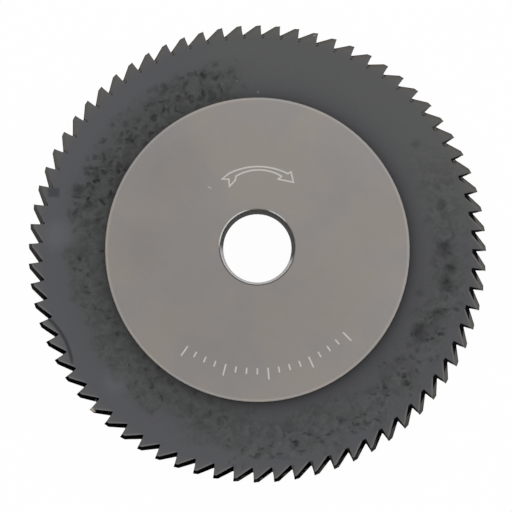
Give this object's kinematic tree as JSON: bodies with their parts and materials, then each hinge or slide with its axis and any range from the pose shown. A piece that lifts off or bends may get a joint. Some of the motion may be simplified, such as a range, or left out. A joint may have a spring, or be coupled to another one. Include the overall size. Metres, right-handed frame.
{
  "type": "key cutting wheel",
  "caption": "Solid carbide milling wheel with saw teeth round a V-shaped edge, a raised ground hub on each face and a plain bore, for cutting key blanks.",
  "frame": {"origin": "centre of the lower hub's flat face, on the bore's axis, at the base of the part", "axes": "+Z along the bore, out of the face that carries the rotation arrow; +X to the right and +Y to the top of that face; the wheel turns clockwise seen from +Z"},
  "size_m": [0.0604, 0.0604, 0.0052],
  "materials": {
    "carbide": "dark matt carbide ring and teeth, hub faces ground to a warm satin grey"
  },
  "bodies": {
    "root": {"cutting_wheel": "carbide"}
  },
  "joints": []
}
